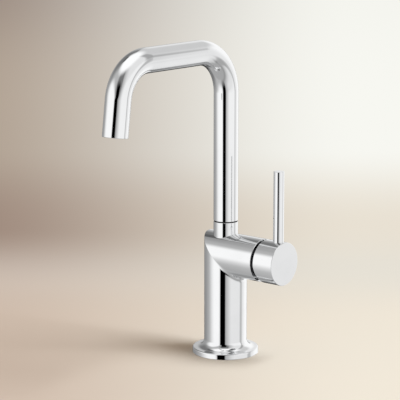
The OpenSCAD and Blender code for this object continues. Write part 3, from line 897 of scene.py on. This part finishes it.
# %% Trim dome
PIVOT_X = 34
DOME_R = 24
DOME_INNER_R = 21.6
DOME_FOOT_R = 17
DOME_MOUTH_R = 12
DOME_STEP = 0.5
COLLAR_R = 18.15
COLLAR_BORE_R = 14.5
COLLAR_START = 40
COLLAR_END = 46.5
COLLAR_EDGE = 0.2


def on_dome(radius, sphere_r):
    """Height along the hub at which the dome has this radius."""
    return PIVOT_X + math.sqrt(sphere_r**2 - radius**2)


steps_in = round((DOME_FOOT_R - DOME_MOUTH_R) / DOME_STEP)
steps_out = round((COLLAR_BORE_R - DOME_MOUTH_R) / DOME_STEP)
narrowing = [DOME_FOOT_R - i * DOME_STEP for i in range(steps_in + 1)]
widening = [DOME_MOUTH_R + i * DOME_STEP for i in range(steps_out + 1)]
dome_stations = [(COLLAR_BORE_R, COLLAR_START), (COLLAR_R, COLLAR_START)]
dome_stations += [(COLLAR_R, COLLAR_END - COLLAR_EDGE), (COLLAR_R - COLLAR_EDGE, COLLAR_END)]
dome_stations += [(DOME_FOOT_R, COLLAR_END)]
dome_stations += [(radius, on_dome(radius, DOME_R)) for radius in narrowing]
dome_stations += [(radius, on_dome(radius, DOME_INNER_R)) for radius in widening]
dome_stations += [(COLLAR_BORE_R, COLLAR_START)]
dome = turned("gap_dome", dome_stations, (0, 0, HUB_Z), (0, 90, 0), sides=128)
shade(dome, sharp_from=35)

# %% [markdown]
# The threaded shank
#
# Under the deck a nut on the brass shank clamps the faucet down. One turn of its thread is a
# zigzag 2 mm high, drawn from a plane that is merged to a single point. The screw modifier
# winds it up the shank, one pitch a turn, and then the ends are cut square, chamfered and
# bored. Rings would be simpler, but a real thread climbs, and close up it shows.

# %% Shank, the thread
SHANK_R = 16.5
SHANK_LOW = -46
SHANK_HIGH = 12
PITCH = 2
THREAD_DEPTH = 0.9
FLANK_RISE = 0.8
FLAT_RISE = 0.2
THREAD_STEPS = 96

bpy.ops.object.select_all(action="DESELECT")
start = ((SHANK_R - THREAD_DEPTH) * MM, 0, (SHANK_LOW - 1.5 * PITCH) * MM)
bpy.ops.mesh.primitive_plane_add(size=MM, location=start)
shank = bpy.context.active_object
shank.name = shank.data.name = "threaded_shank"
edit_all(shank)
bpy.ops.mesh.select_mode(type="VERT")
bpy.ops.mesh.merge(type="CENTER")
for outwards in (THREAD_DEPTH, -THREAD_DEPTH):
    pull((outwards, 0, FLANK_RISE))
    pull((0, 0, FLAT_RISE))
leave_edit()
settle(shank)
thread_turns = round((SHANK_HIGH - SHANK_LOW) / PITCH) + 3
thread = shank.modifiers.new("thread", "SCREW")
thread.steps = thread.render_steps = THREAD_STEPS
thread.screw_offset = PITCH * MM
thread.iterations = thread_turns
bpy.ops.object.modifier_apply(modifier=thread.name)
edit_all(shank)
bpy.ops.mesh.remove_doubles(threshold=SAME_POINT)
leave_edit()
print("thread wound", thread_turns, "times, one pitch of", PITCH, "mm a turn")

# %% Shank, ends and bore
LEAD_IN = 0.8
SHANK_BORE_R = 13.5

slice_off(shank, (0, 0, SHANK_LOW), (0, 0, -1))
slice_off(shank, (0, 0, SHANK_HIGH), (0, 0, 1))
edit_all(shank)
bpy.ops.mesh.fill_holes(sides=0)
bpy.ops.mesh.normals_make_consistent(inside=False)
leave_edit()
just_outside = SHANK_R + 0.01
limit_stations = [(SHANK_R - LEAD_IN, SHANK_LOW), (just_outside, SHANK_LOW + LEAD_IN)]
limit_stations += [(just_outside, SHANK_HIGH - LEAD_IN), (SHANK_R - LEAD_IN, SHANK_HIGH)]
combine(shank, turned("limit", limit_stations), "INTERSECT")
bore_stations = [(SHANK_BORE_R, SHANK_LOW - 1), (SHANK_BORE_R, SHANK_HIGH + 1)]
combine(shank, turned("bore", bore_stations), "DIFFERENCE")
shade(shank, [barrel((0, 0, 0), (0, 0, 1), SHANK_BORE_R)], sharp_from=35)

# %% [markdown]
# Chrome
#
# Polished chrome is a bright metal with almost no blur. What keeps it from looking like
# computer glass is what the eye hardly sees: a breath of haze where it was touched, and a
# plating that is not perfectly flat. So the roughness drifts a little over a few
# centimetres, and a very weak bump a millimetre across softens the mirrored edges. Brass and
# steel are the same recipe with other colours, more blur and a stronger ripple.

# %% Recipe for a metal
BUMP_DEPTH = 0.0001


def metal(name, light, dark, smooth, hazy, haze_scale, ripple_scale, ripple):
    """A metal whose colour and blur drift slowly, with a faint ripple."""
    material = bpy.data.materials.new(name)
    tree = Tree(material)
    place = tree.node("ShaderNodeTexCoord", output="Object")
    haze_inputs = {"Vector": place, "Scale": haze_scale, "Detail": 3.0, "Roughness": 0.6}
    haze = tree.node("ShaderNodeTexNoise", inputs=haze_inputs).rise(0.35, 0.75)
    fine_inputs = {"Vector": place, "Scale": ripple_scale, "Detail": 2.0}
    fine = tree.node("ShaderNodeTexNoise", inputs=fine_inputs)
    bump_inputs = {"Height": fine, "Strength": ripple, "Distance": BUMP_DEPTH}
    bump = tree.node("ShaderNodeBump", inputs=bump_inputs)
    inputs = {
        "Base Color": tree.mix(haze, light, dark),
        "Roughness": smooth + haze * (hazy - smooth),
        "Metallic": 1.0,
        "Normal": bump,
    }
    skin = tree.node("ShaderNodeBsdfPrincipled", inputs=inputs)
    tree.node("ShaderNodeOutputMaterial", inputs={"Surface": skin})
    return material


print("a metal is bumpy by at most", BUMP_DEPTH / MM, "mm")

# %% Metals
FINISH = {}
FINISH["chrome"] = metal(
    "polished_chrome",
    light=(0.89, 0.895, 0.90, 1),
    dark=(0.86, 0.865, 0.87, 1),
    smooth=0.028, hazy=0.05, haze_scale=30, ripple_scale=900, ripple=0.012,
)
FINISH["brass"] = metal(
    "turned_brass",
    light=(0.80, 0.62, 0.32, 1),
    dark=(0.66, 0.48, 0.22, 1),
    smooth=0.22, hazy=0.38, haze_scale=90, ripple_scale=1400, ripple=0.35,
)
FINISH["steel"] = metal(
    "turned_steel",
    light=(0.66, 0.67, 0.68, 1),
    dark=(0.52, 0.53, 0.55, 1),
    smooth=0.20, hazy=0.34, haze_scale=80, ripple_scale=1600, ripple=0.3,
)
# Painted shade: the dome's steel is coloured nearly black for the shade in the gap round it, not
# for a finish of its own.
FINISH["painted_shade_steel"] = metal(
    "steel_in_painted_shade",
    light=(0.050, 0.050, 0.055, 1),
    dark=(0.030, 0.030, 0.032, 1),
    smooth=0.24, hazy=0.36, haze_scale=80, ripple_scale=1600, ripple=0.3,
)
print("metals:", sorted(FINISH))

# %% [markdown]
# Plastics, rubber and ceramic
#
# What isn't metal here is moulded or pressed. Its colour is slightly uneven in patches, and a
# fine grain drives both the bump and the roughness, as it does on a real moulding.

# %% Recipe for a moulded material
PATCH_SCALE = 60.0


def moulded(name, light, dark, smooth, rough, grain_scale, grain):
    """A moulded or pressed material with a fine grain and slightly uneven colour."""
    material = bpy.data.materials.new(name)
    tree = Tree(material)
    place = tree.node("ShaderNodeTexCoord", output="Object")
    patch_inputs = {"Vector": place, "Scale": PATCH_SCALE, "Detail": 4.0}
    patch = tree.node("ShaderNodeTexNoise", inputs=patch_inputs)
    speck_inputs = {"Vector": place, "Scale": grain_scale, "Detail": 2.0}
    speck = tree.node("ShaderNodeTexNoise", inputs=speck_inputs)
    bump_inputs = {"Height": speck, "Strength": grain, "Distance": BUMP_DEPTH}
    bump = tree.node("ShaderNodeBump", inputs=bump_inputs)
    inputs = {
        "Base Color": tree.mix(patch.rise(0.3, 0.7), light, dark),
        "Roughness": smooth + speck * (rough - smooth),
        "Normal": bump,
    }
    skin = tree.node("ShaderNodeBsdfPrincipled", inputs=inputs)
    tree.node("ShaderNodeOutputMaterial", inputs={"Surface": skin})
    return material


print("colour patches about", round(1 / PATCH_SCALE / MM), "mm across")

# %% Plastics, rubber and ceramic
FINISH["rubber"] = moulded(
    "black_rubber",
    light=(0.030, 0.030, 0.032, 1),
    dark=(0.018, 0.018, 0.020, 1),
    smooth=0.55, rough=0.8, grain_scale=2200, grain=0.5,
)
FINISH["white_plastic"] = moulded(
    "white_acetal",
    light=(0.86, 0.86, 0.83, 1),
    dark=(0.80, 0.80, 0.77, 1),
    smooth=0.35, rough=0.55, grain_scale=2600, grain=0.25,
)
FINISH["grey_plastic"] = moulded(
    "grey_acetal",
    light=(0.34, 0.35, 0.37, 1),
    dark=(0.28, 0.29, 0.31, 1),
    smooth=0.35, rough=0.55, grain_scale=2600, grain=0.25,
)
FINISH["red_plastic"] = moulded(
    "red_acetal",
    light=(0.62, 0.06, 0.05, 1),
    dark=(0.50, 0.04, 0.035, 1),
    smooth=0.35, rough=0.55, grain_scale=2600, grain=0.25,
)
FINISH["ceramic"] = moulded(
    "lapped_ceramic",
    light=(0.93, 0.92, 0.88, 1),
    dark=(0.89, 0.88, 0.83, 1),
    smooth=0.08, rough=0.2, grain_scale=3000, grain=0.08,
)
print("finishes:", sorted(FINISH))

# %% [markdown]
# Finishes on the pieces
#
# The pieces that stay as the CAD made them get their finish by name.

# %% Who has which finish
SLOT_NODES = {
    "brass": ["mounting_shank", "fixing_nut", "inlet_block", "spout_post", "retaining_nut"]
    + ["spout_sleeve", "outlet_sleeve"],
    "steel": ["fixing_washer", "block_screw", "trim_dome", "pivot_pin", "stem_lever"]
    + ["grub_screw", "retaining_ring"],
    "rubber": ["deck_gasket", "fixing_gasket", "block_seals", "swivel_washer", "lower_o_ring"]
    + ["upper_o_ring", "port_seals", "disc_seals", "aerator_seal"],
    "white_plastic": ["glide_ring", "cartridge_housing", "disc_carrier", "aerator_insert"],
    "grey_plastic": ["cartridge_base", "rotary_collar", "aerator_body", "aerator_screen"],
    "red_plastic": ["limit_ring"],
    "ceramic": ["fixed_disc", "moving_disc"],
    "chrome": ["body", "handle_cap", "lever_rod", "spout_tube"],
}
for slot, names in SLOT_NODES.items():
    for name in names:
        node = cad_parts[name]
        node.data.materials.clear()
        node.data.materials.append(FINISH[slot])
print("nodes with a finish:", sum(len(names) for names in SLOT_NODES.values()))

# %% Who rides on what
RIDES = [
    (body, "base", "chrome", "chrome", "body"),
    # The dome wears the steel coloured as painted shade.
    (dome, "base", "painted_shade_steel", "steel", "trim_dome"),
    (spout, "spout", "chrome", "chrome", "spout_tube"),
    (cap, "handle", "chrome", "chrome", "handle_cap"),
    (rod, "handle", "chrome", "chrome", "lever_rod"),
    (shank, "base", "brass", "brass", "mounting_shank"),
]
for piece, carrier, finish, slot, node in RIDES:
    piece.data.materials.clear()
    piece.data.materials.append(FINISH[finish])
    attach(piece, carrier)
    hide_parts(node)
print("new pieces:", [row[0].name for row in RIDES])
